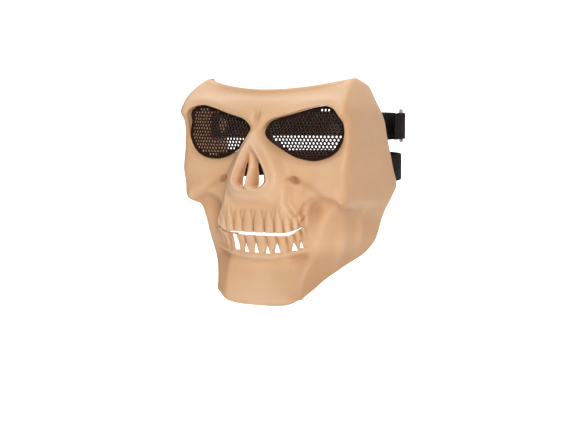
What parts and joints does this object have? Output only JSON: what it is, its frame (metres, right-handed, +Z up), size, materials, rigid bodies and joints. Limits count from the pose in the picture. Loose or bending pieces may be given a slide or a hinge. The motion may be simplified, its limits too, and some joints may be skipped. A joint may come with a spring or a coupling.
{
  "type": "skull mask",
  "caption": "Full-face skull mask: a moulded shell with pierced eye plates and toothed mouth gap, worn on two elastic straps round the head.",
  "frame": {"origin": "the middle of the head hollow, between the wearer's ears at eye level, where the head carries the mask", "axes": "+X to the wearer's left, -Y the way the face looks, +Z up"},
  "size_m": [0.1756, 0.2185, 0.1999],
  "materials": {
    "shell_plastic": "sand-coloured moulded plastic, satin, slightly shaded in the hollows",
    "eye_mesh": "black-brown painted perforated sheet",
    "webbing": "black woven elastic webbing",
    "slider_plastic": "grey-tan moulded plastic",
    "stud_plastic": "sand-coloured plastic stud"
  },
  "bodies": {
    "root": {"mask_shell": "shell_plastic", "eye_mesh_left": "eye_mesh", "eye_mesh_right": "eye_mesh", "upper_strap": "webbing", "lower_strap": "webbing", "strap_slider": "slider_plastic", "upper_strap_stud_left": "stud_plastic", "upper_strap_stud_right": "stud_plastic", "lower_strap_stud_left": "stud_plastic", "lower_strap_stud_right": "stud_plastic"}
  },
  "joints": []
}
